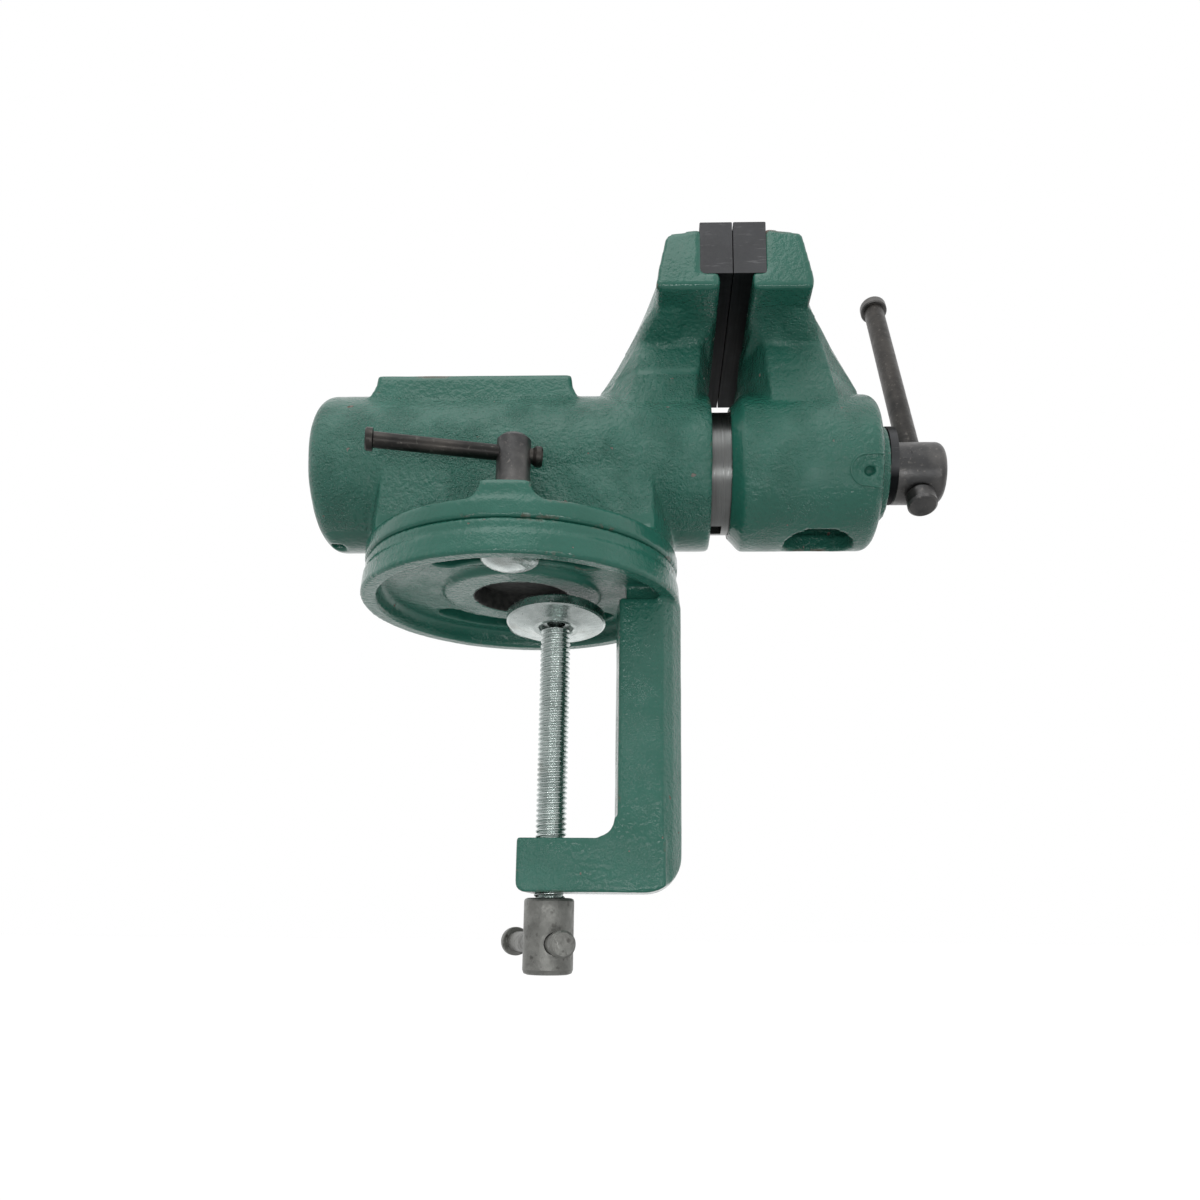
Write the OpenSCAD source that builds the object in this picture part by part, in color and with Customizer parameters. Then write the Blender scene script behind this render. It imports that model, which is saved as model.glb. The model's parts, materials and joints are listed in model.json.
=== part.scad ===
// Round-bar bench vise on a swivel base with a built-in table clamp.
// Units are millimetres. +Z is up, the spindle runs along X and the handle is at +X.
// The origin is on the swivel axis, in the plane of the table top.

/* [View] */
// which node to build

/* [Swivel base] */
// outer radius of the base rim at the table
base_r = 64; // [50:0.5:80]
// radius of the upper band of the base
band_r = 62.7; // [50:0.1:80]
// height of the step between the rim and the upper band
step_z = 8.7; // [6:0.1:12]
// height of the face the swivelling body turns on
split_z = 13.6; // [12:0.1:20]
// inner radius of the rim's flat face
rim_in_r = 57.6; // [45:0.1:70]
// height of the recessed floor under the base
floor_z = 6.6; // [4:0.1:10]
// outer radius of the ring boss round the pivot hole
boss_r = 31.5; // [25:0.5:40]
// height of the ring boss face
boss_z = 4.4; // [2:0.1:6]
// radius of the pivot hole
pivot_r = 19.25; // [15:0.05:24]
// radius of the arc slots' centre line
slot_r = 43.5; // [38:0.5:50]
// width of the arc slots
slot_w = 10.6; // [8:0.1:14]
// half angle swept by the front slot
slot_half_front = 38; // [20:1:60]
// half angle swept by the rear slot
slot_half_rear = 48; // [20:1:60]
// direction of the front slot's middle, in degrees
slot_mid_front = -86; // [-95:0.5:-80]
// direction of the rear slot's middle, in degrees
slot_mid_rear = 94.5; // [85:0.5:100]

/* [Table clamp frame] */
// inner face of the upright, from the swivel axis
arm_in_x = 38.6; // [30:0.1:50]
// outer face of the upright, from the swivel axis
arm_out_x = 64.3; // [55:0.1:75]
// half depth of the upright
arm_half = 14; // [10:0.5:20]
// top of the foot, below the table plane
foot_top = 92.8; // [60:0.1:120]
// thickness of the foot
foot_t = 20.4; // [14:0.1:30]
// free end of the foot, from the swivel axis
foot_x = 2.6; // [-5:0.1:10]

/* [Clamp screw] */
// distance of the screw from the swivel axis
screw_x = 14; // [8:0.5:24]
// outer radius of the clamp screw
screw_r = 6; // [4:0.1:8]
// pitch of the clamp screw
screw_pitch = 2; // [1:0.25:3]
// radius of the pad
pad_r = 19.9; // [14:0.1:26]
// thickness of the pad at its edge
pad_t = 4.5; // [3:0.1:8]
// tilt of the loose pad at rest, in degrees
pad_tilt = 7; // [0:0.5:8]
// radius of the screw head
head_r = 9.5; // [7:0.1:14]
// length of the screw head
head_len = 28; // [18:0.5:40]
// radius of the clamp bar
cbar_r = 4; // [2.5:0.1:5]
// angle of the clamp bar from the Y axis, in degrees
cbar_turn = 23; // [0:1:90]

/* [Body] */
// height of the spindle axis
axis_z = 58.5; // [50:0.5:70]
// radius of the round body
barrel_r = 31.8; // [28:0.1:38]
// rear end of the fixed body
rear_x = -83; // [-100:0.5:-70]
// front face of the fixed body's collar
collar_x = 76.2; // [60:0.1:90]
// radius of the swivel flange
flange_r = 62.9; // [50:0.1:70]
// top of the swivel flange
flange_top = 21.5; // [18:0.1:26]
// radius of the pedestal between the flange and the round body
ped_r = 61.6; // [50:0.1:68]
// half depth of the pedestal
ped_half = 30; // [24:0.5:32]
// top of the two lugs for the lock bolts
lug_top = 28.2; // [24:0.1:34]
// top of the anvil
anvil_top = 92.3; // [90:0.1:100]
// half depth of the anvil
anvil_half = 23; // [15:0.5:28]
// rear end of the anvil
anvil_x0 = -59; // [-70:0.5:-40]
// front end of the anvil
anvil_x1 = 20; // [5:0.5:28]

/* [Jaws] */
// half width of the jaws
jaw_half = 51; // [30:0.5:60]
// plane where the jaws meet
jaw_x = 83.6; // [80:0.1:90]
// gap between the closed jaw plates
jaw_gap = 0.4; // [0.2:0.1:1]
// thickness of a jaw plate
plate_t = 12.5; // [8:0.1:16]
// bottom edge of the jaw plates
plate_z0 = 117.4; // [115:0.1:135]
// top edge of the jaw plates
plate_z1 = 139.7; // [135:0.1:160]
// bottom edge of the jaw blocks at their ends
block_z0 = 111.4; // [105:0.1:125]
// half depth of the necks' front faces
neck_half = 22; // [16:0.5:30]
// jaw travel
jaw_travel = 75; // [50:1:100]

/* [Moving jaw] */
// start of the moving jaw's round body
mov_x0 = 83.8; // [80:0.1:90]
// end of the moving jaw's round body
mov_x1 = 143.2; // [130:0.1:160]
// radius of the boss the spindle runs through
mboss_r = 19.5; // [14:0.1:26]
// end of that boss
mboss_x = 147.6; // [140:0.1:165]

/* [Slide tube] */
// outer radius of the slide tube
tube_r = 25; // [20:0.5:30]
// inner radius of the slide tube
tube_in_r = 17; // [12:0.5:22]
// rear end of the slide tube with the jaws closed
tube_x0 = -54; // [-60:1:-30]
// front end of the slide tube
tube_x1 = 104; // [95:1:115]
// width of the keyway
key_w = 8; // [5:0.1:12]

/* [Spindle] */
// radius of the spindle
spin_r = 8; // [6:0.5:12]
// pitch of the spindle
spin_pitch = 4; // [3:0.5:6]
// radius of the spindle head
shead_r = 12.8; // [10:0.1:16]
// start of the spindle head
shead_x0 = 151.8; // [148:0.1:160]
// end of the spindle head
shead_x1 = 172.3; // [165:0.1:185]
// centre of the bar's hole in the head
sbar_x = 161.6; // [158:0.1:168]
// radius of the spindle bar
sbar_r = 4.7; // [3:0.1:6]
// angle of the bar from the Y axis, in degrees
sbar_turn = 64; // [0:1:180]
// long end of the bar from the spindle axis
sbar_long = 129.5; // [90:0.5:150]
// short end of the bar from the spindle axis
sbar_short = 20.4; // [19:0.1:40]
// radius of the knobs on the bar
sknob_r = 6.3; // [5:0.1:8]

/* [Swivel locks] */
// radius of the lock bolts
bolt_r = 5; // [4:0.5:6]
// radius of the lever posts
post_r = 6.4; // [5:0.1:8]
// top of the lever posts
post_top = 53.4; // [45:0.1:60]
// height of the lever bars
lbar_z = 46.6; // [38:0.1:52]
// radius of the lever bars
lbar_r = 3; // [2:0.1:4]
// long end of a lever bar from its post's axis
lbar_long = 54; // [40:0.5:70]
// angle of the front lever, in degrees
lever_turn = 194; // [172:1:350]

/* [Hidden] */
$fn = 96;
eps = 0.01;
fit = 0.05;            // radial clearance of a running fit
turn_gap = 0.2;        // open joint between the base and the body
pin_r = pivot_r - fit;
bore_r = tube_r + fit;
bolt_x = 1;            // lock bolts, from the swivel axis
foot_z = -foot_top - foot_t;
pad_z = -6.7;          // lower edge of the pad
pad_c = -5.2;          // height the pad tilts about
shead_top = -115.1;    // top of the clamp screw head
cbar_z = -131.8;       // height of the clamp bar
cbar_rear = 49;        // rear end of the clamp bar from the screw axis
cbar_front = 18.4;     // front end of the clamp bar from the screw axis
screw_y = 30;          // plate screws, from the middle of the jaws
screw_z = (plate_z0 + plate_z1) / 2;
sleeve_r = 14;
sleeve_x0 = -80;
sleeve_x1 = 33;
nut_len = 30;
spin_x0 = -72;
wall_x = 136;          // inside of the moving jaw's end wall
green = [0.10, 0.33, 0.26];
steel = [0.42, 0.42, 0.43];
dark = [0.16, 0.155, 0.15];
zinc = [0.74, 0.76, 0.77];
grey = [0.47, 0.47, 0.45];

// ---- helpers ----

// a solid of revolution about X, from points [x, r]
module about_x(points) {
    translate([0, 0, axis_z]) rotate([0, 90, 0])
        rotate_extrude() polygon([for (p = points) [p[1], p[0]]]);
}

// a cylinder along X on the spindle axis
module cyl_x(x0, x1, r) {
    translate([x0, 0, axis_z]) rotate([0, 90, 0]) cylinder(h = x1 - x0, r = r);
}

// points of a quarter round that ends a bar of radius r at x, s = 1 at a +X end
function round_end(x, r, c, s = 1, n = 8) =
    [for (i = [0 : n]) let (a = s > 0 ? 90 * i / n : 90 - 90 * i / n)
        [x - s * c + s * c * sin(a), r - c + c * cos(a)]];

// a ring sector used for the arc slots, centred on the angle mid
module arc_slot(mid, half) {
    turns = [for (i = [0 : 24]) mid - half + 2 * half * i / 24];
    inner = slot_r - slot_w / 2;
    outer = slot_r + slot_w / 2;
    translate([0, 0, boss_z]) linear_extrude(split_z) union() {
        polygon(concat([for (a = turns) outer * [cos(a), sin(a)]],
            [for (i = [24 : -1 : 0]) inner * [cos(turns[i]), sin(turns[i])]]));
        for (a = [mid - half, mid + half])
            translate(slot_r * [cos(a), sin(a)]) circle(r = slot_w / 2);
    }
}

// a thin six-sided slice of a neck: front x range, middle x range, half depths
module neck_slice(z, f0, f1, m0, m1, half, mid_half) {
    translate([0, 0, z]) linear_extrude(0.5)
        polygon([[f0, -half], [f1, -half], [m1, -mid_half], [m1, mid_half],
            [f1, half], [f0, half], [m0, mid_half], [m0, -mid_half]]);
}

// an XZ outline extruded over a depth centred on Y = 0
module slab(points, half) {
    translate([0, half, 0]) rotate([90, 0, 0]) linear_extrude(2 * half) polygon(points);
}

// a cross bar: from -a to b along a horizontal or tilted direction
module bar_along(from, dir, a, b, r) {
    translate(from) rotate(dir) translate([0, 0, -a]) cylinder(h = a + b, r = r);
}

// ---- swivel base and clamp frame ----

module clamp_base() {
    color(green) difference() {
        union() {
            rotate_extrude($fn = 180) polygon([
                [pivot_r, boss_z], [boss_r - 1, boss_z], [boss_r, boss_z + 0.6],
                [boss_r + 0.6, floor_z], [rim_in_r - 2, floor_z],
                [rim_in_r - 0.6, floor_z - 1.6], [rim_in_r, 0.3], [rim_in_r + 0.4, 0],
                [base_r - 0.6, 0], [base_r, 0.6], [base_r - 0.6, step_z - 0.3],
                [band_r - 0.2, step_z], [band_r, split_z - 0.6],
                [band_r - 0.5, split_z], [pivot_r, split_z]]);
            clamp_frame();
        }
        arc_slot(slot_mid_front, slot_half_front);
        arc_slot(slot_mid_rear, slot_half_rear);
        translate([screw_x, 0, foot_z - 1]) cylinder(h = foot_t + 10, r = screw_r + fit);
    }
}

module clamp_frame() {
    x0 = arm_in_x;
    x1 = arm_out_x;
    intersection() {
        union() {
            // upright, widest in the middle
            translate([0, 0, foot_z]) linear_extrude(-foot_z)
                polygon([[x0 + 1.6, -arm_half], [x1 - 7.4, -arm_half], [x1 - 3.4, -arm_half + 4.6],
                    [x1, -3], [x1, 3], [x1 - 3.4, arm_half - 4.6], [x1 - 7.4, arm_half],
                    [x0 + 1.6, arm_half], [x0, 2], [x0, -2]]);
            // foot
            translate([foot_x, 0, 0]) rotate([90, 0, 90]) linear_extrude(x1 - foot_x - 6)
                polygon([[-arm_half, -foot_top - 0.6], [-2, -foot_top], [2, -foot_top],
                    [arm_half, -foot_top - 0.6], [arm_half, foot_z + 0.4], [arm_half - 0.4, foot_z],
                    [-arm_half + 0.4, foot_z], [-arm_half, foot_z + 0.4]]);
            // inner corner
            difference() {
                slab([[x0 - 6, -foot_top - 1], [x0 + 3, -foot_top - 1], [x0 + 3, -foot_top + 7],
                    [x0, -foot_top + 7]], arm_half - 0.3);
                translate([x0 - 6.4, 20, -foot_top + 6.6]) rotate([90, 0, 0])
                    cylinder(h = 40, r = 6.6);
            }
            // web into the recess
            translate([x0 + 4, -10, -1]) cube([16, 20, floor_z + 1.5]);
        }
        // rounded outer corners of the frame
        slab(concat([[foot_x, -foot_top + 30], [foot_x, foot_z + 3.5]],
            [for (a = [0 : 15 : 90]) [foot_x + 3.5 - 3.5 * cos(a), foot_z + 3.5 - 3.5 * sin(a)]],
            [for (a = [90 : -11.25 : 0]) [x1 - 14 + 14 * cos(a), foot_z + 14 - 14 * sin(a)]],
            [[x1, 12], [foot_x, 12]]), arm_half + 5);
    }
}

// ---- swivelling body ----

module fixed_body() {
    color(green) difference() {
        union() {
            about_x(concat([[rear_x + 2, 0]], round_end(rear_x, barrel_r + 0.4, 6, -1),
                [[-ped_r, barrel_r + 0.4], [5 - ped_r, barrel_r], [collar_x - 1.5, barrel_r],
                [collar_x - 0.4, barrel_r - 0.5], [collar_x, barrel_r - 1.6], [collar_x, 0]]));
            // round boss on the rear end
            about_x([[rear_x - 1, 0], [rear_x - 6, 0], [rear_x - 6, 9.5], [rear_x - 5, 11.5],
                [rear_x + 0.5, 13.5], [rear_x + 4, 13.5], [rear_x + 4, 0]]);
            pedestal();
            anvil();
            fixed_jaw();
        }
        cyl_x(-58, collar_x + 1, bore_r);
        cyl_x(sleeve_x0 - 1, 0, sleeve_r);
        // pocket for the guide key
        translate([60, -key_w / 2, 28.5]) cube([13, key_w, 8]);
        // hole for the nut's set screw
        translate([-77, 0, 20]) cylinder(h = 30, r = 3);
        for (s = [-1, 1]) translate([s * -bolt_x, s * slot_r, 0])
            cylinder(h = 40, r = bolt_r + fit);
        plate_screw_holes(jaw_x - jaw_gap / 2 - 20.7, 21);
    }
}

// flange, pedestal, lugs and the pivot under them
module pedestal() {
    z0 = split_z + turn_gap;
    rotate_extrude($fn = 180) polygon([[0, split_z - 1.8], [pin_r - 0.6, split_z - 1.8],
        [pin_r, split_z - 1.2], [pin_r, z0], [flange_r - 0.5, z0], [flange_r, z0 + 0.6],
        [flange_r, flange_top - 1], [flange_r - 1, flange_top], [0, flange_top]]);
    intersection() {
        translate([0, 0, z0]) cylinder(h = axis_z - z0, r1 = ped_r, r2 = ped_r - 1.5, $fn = 180);
        translate([-80, -ped_half, 0]) cube([160, 2 * ped_half, 100]);
    }
    for (s = [-1, 1]) intersection() {
        translate([0, 0, z0]) cylinder(h = lug_top - z0, r = flange_r - 0.6, $fn = 180);
        translate([-s * bolt_x, 0, 0]) rotate([90, 0, 0])
            linear_extrude(2 * flange_r, center = true)
            polygon([[-17, z0], [-13.4, flange_top], [-9.9, flange_top + 2.6],
                [-9, lug_top - 0.8], [-8.2, lug_top], [8.2, lug_top], [9, lug_top - 0.8],
                [9.9, flange_top + 2.6], [13.4, flange_top], [17, z0]]);
        translate([-30, s > 0 ? 20 : -80, 0]) cube([60, 60, 60]);
    }
}

module anvil() {
    slab_z = axis_z + 10;
    difference() {
        slab([[anvil_x0 - 5, slab_z], [anvil_x0 - 2, 84], [anvil_x0 - 0.5, 87],
            [anvil_x0, anvil_top - 0.8], [anvil_x0 + 0.8, anvil_top],
            [anvil_x1 - 0.8, anvil_top], [anvil_x1, anvil_top - 0.8], [anvil_x1 + 0.5, 87],
            [anvil_x1 + 2, 84], [anvil_x1 + 5, slab_z]], anvil_half);
        // slightly drafted sides
        for (s = [-1, 1]) translate([-100, s * anvil_half, anvil_top])
            rotate([s * 3, 0, 0]) translate([0, s > 0 ? 0 : -10, -40]) cube([200, 10, 50]);
    }
}

module fixed_jaw() {
    seat = jaw_x - jaw_gap / 2 - plate_t;
    // neck: wide in the middle, narrow at the front and back
    hull() {
        neck_slice(66, 41, 68.5, 19, 75, neck_half + 4, 2.5);
        neck_slice(block_z0 + 1, 51, 73, 42.6, 77, neck_half + 0.6, 4);
    }
    // fillet from the neck to the block's underside
    hull() {
        neck_slice(block_z0 - 5.4, 50.4, 72.5, 40.4, 76.7, neck_half + 1, 4);
        neck_slice(block_z0, 53.5, 76.8, 45, 77.6, neck_half + 9, 4);
    }
    // rib up the back of the block
    hull() {
        neck_slice(block_z0 - 4, 49.8, 60, 40.7, 62, 12, 3);
        neck_slice(133, 57, 64, 51.6, 66, 8, 3);
    }
    slab([[54.6, block_z0], [77.5, block_z0], [78, block_z0 + 1.5], [78.1, plate_z0],
        [seat, plate_z0], [seat, 136.3], [59.2, 134.1], [58.5, 133.4], [55.6, 119]], jaw_half);
}

// ---- moving jaw ----

module moving_jaw() {
    color(green) difference() {
        union() {
            about_x(concat([[mov_x0, 0], [mov_x0, 26.5], [mov_x0 + 1, 27.2],
                [mov_x0 + 4.6, barrel_r - 0.7], [mov_x0 + 5.8, barrel_r]],
                round_end(mov_x1, barrel_r, 5),
                [[mov_x1, mboss_r + 0.8], [mov_x1 + 0.8, mboss_r], [mboss_x - 0.6, mboss_r],
                [mboss_x, mboss_r - 0.6], [mboss_x, 0]]));
            moving_neck();
        }
        cyl_x(mov_x0 - 1, tube_x1, tube_r);
        cyl_x(tube_x1 - eps, wall_x, 21);
        cyl_x(wall_x - 1, mboss_x + 1, spin_r + fit);
        // core hole in the underside
        for (x = [117.6, 123.2]) translate([x, 0, axis_z - 40]) cylinder(h = 40, r = 11.4);
        translate([117.6, -11.4, axis_z - 40]) cube([5.6, 22.8, 40]);
        plate_screw_holes(jaw_x + jaw_gap / 2 - 1, 21.7);
        side_recess();
    }
}

module moving_neck() {
    seat = jaw_x + jaw_gap / 2 + plate_t;
    hull() {
        neck_slice(66, 101.5, 129.5, 88.5, 142.4, neck_half + 4, 2.5);
        neck_slice(91, 99.6, 123.8, 89.6, 140, neck_half + 2, 3);
        neck_slice(block_z0 + 1, 97.7, 118.8, 90.6, 129, neck_half + 0.6, 4);
    }
    hull() {
        neck_slice(block_z0 - 5.4, 98.2, 119.6, 90.3, 131.6, neck_half + 1, 4);
        neck_slice(block_z0, 94, 117, 91.4, 129, neck_half + 9, 4);
    }
    hull() {
        neck_slice(block_z0 - 4, 112, 119.5, 104, 131, 12, 3);
        neck_slice(132.4, 104, 110, 102, 120.4, 8, 3);
    }
    slab([[92, block_z0], [91.6, block_z0 + 1.5], [91.2, plate_z0], [seat, plate_z0],
        [seat, 136.6], [109.3, 134.5], [110.1, 133.5], [113.5, 118],
        [114.1, 114.8], [113.6, block_z0]], jaw_half);
}

// shallow recess with a small blind hole, low on the near side of the moving jaw's end
module side_recess() {
    translate([0, 0, axis_z]) rotate([113, 0, 0]) {
        translate([136.8, 0, barrel_r - 1]) cylinder(h = 5, r = 5.6);
        translate([136.8, -5.6, barrel_r - 1]) cube([10, 11.2, 5]);
        translate([136.8, 0, barrel_r - 4]) cylinder(h = 5, r = 2);
    }
}

module slide_tube() {
    color(steel) difference() {
        about_x([[tube_x0, tube_in_r], [tube_x0, tube_r - 0.8], [tube_x0 + 0.8, tube_r],
            [tube_x1, tube_r], [tube_x1, tube_in_r]]);
        // keyway along the underside
        translate([-16, -key_w / 2 - fit, axis_z - tube_r - 1])
            cube([97, key_w + 2 * fit, 5.5]);
    }
}

module guide_key() {
    color(steel) translate([60, -key_w / 2, 28.5]) cube([13, key_w, 36.9 - 28.5]);
}

// ---- jaw plates and their screws ----

module plate_body(x) {
    slab([[x, plate_z0], [x + plate_t, plate_z0], [x + plate_t, plate_z1 - 0.3],
        [x + plate_t - 0.3, plate_z1], [x + 0.3, plate_z1], [x, plate_z1 - 0.3]], jaw_half);
}

module plate_screw_holes(x, len) {
    for (y = [-screw_y, screw_y]) translate([x, y, screw_z]) rotate([0, 90, 0]) cylinder(h = len, r = 3);
}

// countersunk screws along X: s = 1 has the heads at the +X side
module plate_screws(face, s) {
    for (y = [-screw_y, screw_y]) translate([face - s * 0.5, y, screw_z])
        rotate([0, s * -90, 0]) {
        difference() {
            cylinder(h = 3.2, r1 = 6, r2 = 3);
            translate([0, 0, -1]) cylinder(h = 3, r = 2.3, $fn = 6);
        }
        translate([0, 0, 3]) cylinder(h = 17, r = 3);
    }
}

module plate_sinks(face, s) {
    for (y = [-screw_y, screw_y]) translate([face, y, screw_z]) rotate([0, s * -90, 0]) {
        translate([0, 0, -1]) cylinder(h = 1.5 + eps, r = 6);
        translate([0, 0, 0.5]) cylinder(h = 3.2, r1 = 6, r2 = 3);
        cylinder(h = 30, r = 3);
    }
}

module fixed_jaw_plate() {
    color(dark) difference() {
        plate_body(jaw_x - jaw_gap / 2 - plate_t);
        plate_sinks(jaw_x - jaw_gap / 2, 1);
    }
}

module moving_jaw_plate() {
    color(dark) difference() {
        plate_body(jaw_x + jaw_gap / 2);
        plate_sinks(jaw_x + jaw_gap / 2, -1);
    }
}

module fixed_plate_screws() {
    color(steel) plate_screws(jaw_x - jaw_gap / 2, 1);
}

module moving_plate_screws() {
    color(steel) plate_screws(jaw_x + jaw_gap / 2, -1);
}

// ---- nut, spindle and bar ----

module nut_sleeve() {
    color(steel) about_x([[sleeve_x0, spin_r + 1], [sleeve_x0, sleeve_r - 0.5],
        [sleeve_x0 + 0.5, sleeve_r], [sleeve_x1 - 1, sleeve_r], [sleeve_x1, sleeve_r - 1],
        [sleeve_x1, spin_r + fit], [sleeve_x1 - nut_len, spin_r + fit],
        [sleeve_x1 - nut_len - 1, spin_r + 1]]);
}

module nut_set_screw() {
    color(steel) translate([-77, 0, axis_z - barrel_r + 3]) difference() {
        cylinder(h = barrel_r - sleeve_r - 3, r = 3);
        translate([0, 0, -1]) cylinder(h = 4, r = 1.6, $fn = 6);
    }
}

module main_spindle() {
    groove = wall_x - 1.9;
    color(steel) about_x([[spin_x0, 0], [spin_x0, spin_r - 1.2], [spin_x0 + 1.2, spin_r],
        [groove, spin_r], [groove, spin_r - 1], [wall_x - 0.3, spin_r - 1],
        [wall_x - 0.3, spin_r], [shead_x0 + 3, spin_r], [shead_x0 + 3, 0]]);
}

module spindle_head() {
    color(dark) difference() {
        about_x(concat([[shead_x0, 0], [shead_x0, shead_r - 0.4], [shead_x0 + 0.4, shead_r]],
            round_end(shead_x1, shead_r, 3.6), [[shead_x1, 0]]));
        cyl_x(shead_x0 - 1, shead_x0 + 3, spin_r);
        bar_along([sbar_x, 0, axis_z], [sbar_turn - 90, 0, 0], 20, 20, sbar_r + 0.3);
        head_pin(1, 2.5);
    }
}

// cross pin through the head and the end of the spindle
module head_pin(extra, r) {
    translate([shead_x0 + 3.4, 0, axis_z]) rotate([76, 0, 0])
        cylinder(h = shead_r - 0.15 + extra, r = r);
}

module spindle_head_pin() {
    color(zinc) intersection() {
        head_pin(0, 2.5);
        translate([shead_x0 + 3.4, 0, axis_z]) rotate([76, 0, 0]) translate([0, 0, spin_r])
            cylinder(h = 20, r = 4);
    }
}

module spindle_washer() {
    color(steel) difference() {
        translate([148.5, 0, axis_z + 3.5]) rotate([0, 90, 0]) cylinder(h = 3.2, r = 16);
        translate([148, 0, axis_z + 3.5]) rotate([0, 90, 0]) cylinder(h = 5, r = spin_r + 3.9);
    }
}

module spindle_circlip() {
    color(steel) difference() {
        cyl_x(wall_x - 1.8, wall_x - 0.4, spin_r + 3);
        cyl_x(wall_x - 3, wall_x + 1, spin_r - 1);
        translate([wall_x - 4, -2.5, axis_z]) cube([6, 5, 20]);
    }
}

module spindle_bar() {
    color(dark) bar_along([sbar_x, 0, axis_z], [sbar_turn - 90, 0, 0],
        sbar_short - 6.5, sbar_long - 5, sbar_r);
}

module spindle_bar_knobs() {
    color(dark) translate([sbar_x, 0, axis_z]) rotate([sbar_turn - 90, 0, 0]) {
        translate([0, 0, sbar_long - 5]) knob(5, sknob_r, 1);
        translate([0, 0, -sbar_short + 6.5]) rotate([180, 0, 0]) knob(6.5, sknob_r - 0.3, 0.8);
    }
}

// an end knob of length h and radius r with edges eased by c
module knob(h, r, c) {
    rotate_extrude() polygon([[0, 0], [r - c / 2, 0], [r, c / 2], [r, h - c],
        [r - c, h], [0, h]]);
}

// ---- swivel locks ----

module lock_bolt(s) {
    color(zinc) translate([-s * bolt_x, s * slot_r, 0]) {
        rotate_extrude() polygon(concat([[0, floor_z - 0.05]],
            [for (a = [0 : 10 : 90]) [11 * cos(a), floor_z - 1 - 4.6 * sin(a)]],
            [[0, floor_z - 5.6]]));
        translate([0, 0, floor_z - 0.05]) cylinder(h = 0.1, r = 4);
        rotate([0, 0, 1.3]) translate([-4.7, -4.7, floor_z - 1]) cube([9.4, 9.4, 7.6]);
        translate([0, 0, floor_z]) cylinder(h = 40 - floor_z, r = bolt_r);
        rotate_extrude() polygon([[0, floor_z - 1], [11, floor_z - 1], [11, floor_z - 0.3],
            [10.7, floor_z - 0.05], [0, floor_z - 0.05]]);
    }
}

module lock_post(s) {
    color(dark) difference() {
        translate([-s * bolt_x, s * slot_r, 0]) rotate_extrude() polygon(
            [[0, lug_top], [post_r - 0.4, lug_top], [post_r, lug_top + 0.4],
            [post_r, post_top - 1.4], [post_r - 1.4, post_top], [0, post_top]]);
        translate([-s * bolt_x, s * slot_r, lug_top - 1])
            cylinder(h = 42 - lug_top, r = bolt_r + fit);
        lock_bar_solid(s);
    }
}

module lock_bar_solid(s) {
    turn = s < 0 ? lever_turn : lever_turn - 180;
    translate([-s * bolt_x, s * slot_r, lbar_z]) rotate([0, 0, turn]) rotate([0, 90, 0])
        rotate_extrude() polygon([[0, -10.6], [3.6, -10.6], [4, -10], [4, -8.2], [lbar_r, -7],
            [lbar_r, lbar_long - 3], [4.3, lbar_long - 2.6], [4.3, lbar_long - 0.5],
            [3.8, lbar_long], [0, lbar_long]]);
}

module front_lock_bolt() { lock_bolt(-1); }
module rear_lock_bolt() { lock_bolt(1); }
module front_lock_post() { lock_post(-1); }
module rear_lock_post() { lock_post(1); }
module front_lock_bar() { color(dark) lock_bar_solid(-1); }
module rear_lock_bar() { color(dark) lock_bar_solid(1); }

// ---- clamp screw, head, pad and bar ----

module clamp_screw() {
    color(zinc) translate([screw_x, 0, 0]) difference() {
        rotate_extrude() polygon([[0, shead_top - 8], [screw_r, shead_top - 8],
            [screw_r, -8.6], [3.2, -7.4], [0, -7.4]]);
        translate([0, 0, -20]) cylinder(h = 20, r = 2.5 + fit);
    }
}

module clamp_screw_head() {
    color(grey) translate([screw_x, 0, 0]) difference() {
        translate([0, 0, shead_top - head_len]) rotate_extrude() polygon(
            [[0, 0], [head_r - 1.8, 0], [head_r - 0.5, 0.5], [head_r, 1.8],
            [head_r, head_len - 1.2], [head_r - 0.3, head_len - 0.4],
            [head_r - 1.2, head_len], [0, head_len]]);
        translate([0, 0, shead_top - 8]) cylinder(h = 9, r = screw_r);
        bar_along([0, 0, cbar_z], [-90, 0, cbar_turn], 20, 20, cbar_r + 0.35);
    }
}

module clamp_swivel_pin() {
    color(zinc) translate([screw_x, 0, 0]) rotate_extrude() polygon([[0, -19.5], [2.5, -19.5],
        [2.5, -7.2], [3, -7.1], [3, -3.7], [4.2, -3.7], [4.2, -3.2], [3.6, -2.8], [0, -2.8]]);
}

module clamp_pad() {
    color(zinc) translate([screw_x, 0, pad_c]) rotate([-pad_tilt, 0, 0])
        translate([0, 0, -pad_c]) rotate_extrude($fn = 120) polygon([
            [3.7, -6.6], [6.9, -6.6], [6.9, -8.4], [7.4, -8.9], [9, -8.9], [11, -8.2],
            [pad_r - 1.8, pad_z - 0.15], [pad_r - 0.8, pad_z], [pad_r, pad_z + 0.5],
            [pad_r, pad_z + pad_t - 0.8], [pad_r - 0.8, pad_z + pad_t],
            [6.4, pad_z + pad_t], [6.4, -4.4], [3.7, -4.4]]);
}

module clamp_bar() {
    color(grey) translate([screw_x, 0, cbar_z]) rotate([-90, 0, cbar_turn]) {
        translate([0, 0, -cbar_front + 4]) cylinder(h = cbar_front + cbar_rear - 8, r = cbar_r);
        translate([0, 0, cbar_rear - 4]) knob(4, 5.8, 0.8);
    }
}

module clamp_bar_knob() {
    color(grey) translate([screw_x, 0, cbar_z]) rotate([-90, 0, cbar_turn])
        translate([0, 0, -cbar_front + 4]) rotate([180, 0, 0]) knob(4, 5, 0.8);
}

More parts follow.
